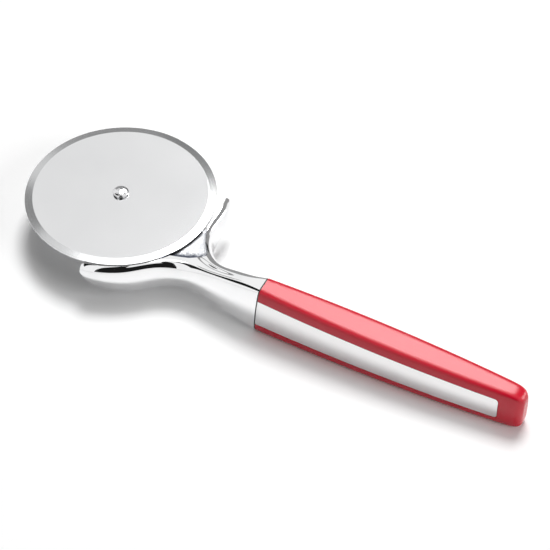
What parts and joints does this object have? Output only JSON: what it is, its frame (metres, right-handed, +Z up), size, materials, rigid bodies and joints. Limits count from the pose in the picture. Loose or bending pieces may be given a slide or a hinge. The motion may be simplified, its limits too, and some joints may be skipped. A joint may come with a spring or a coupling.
{
  "type": "pizza cutter",
  "caption": "Hand pizza cutter lying on its side: steel cutting wheel in a chrome head with two guard wings, and a long red grip with satin steel side plates.",
  "frame": {"origin": "on the wheel's axis, at table level, in the middle of the cap under the axle boss", "axes": "+X along the grip from the wheel to the butt, +Y to the far side of the grip, +Z up along the wheel's axle"},
  "size_m": [0.2315, 0.0837, 0.0248],
  "materials": {
    "blade_steel": "satin faces with a polished bevel",
    "chrome_plate": "mirror polished",
    "plate_steel": "satin",
    "fastener_steel": "bright zinc",
    "bush_bronze": "sintered",
    "red_grip": "semi-gloss",
    "dark_seal": "matt",
    "bonding_film": "matt",
    "grey_cap": "fine matt"
  },
  "bodies": {
    "frame": {"head_casting": "chrome_plate", "axle_rivet": "chrome_plate", "axle_spacer": "fastener_steel", "upper_washer": "fastener_steel", "lower_washer": "fastener_steel", "axle_burr": "fastener_steel", "axle_cap": "grey_cap", "joint_seal": "dark_seal", "grip_shell_near": "red_grip", "grip_shell_far": "red_grip", "insert_near": "plate_steel", "insert_far": "plate_steel", "insert_near_tape": "bonding_film", "insert_far_tape": "bonding_film", "grip_screws": "fastener_steel"},
    "wheel": {"cutting_wheel": "blade_steel", "wheel_bushing": "bush_bronze"}
  },
  "joints": [
    {"name": "wheel_spin", "type": "hinge", "parent": "frame", "child": "wheel", "pos_m": [0, 0, 0.019], "axis": [0, 0, 1], "continuous": true}
  ]
}
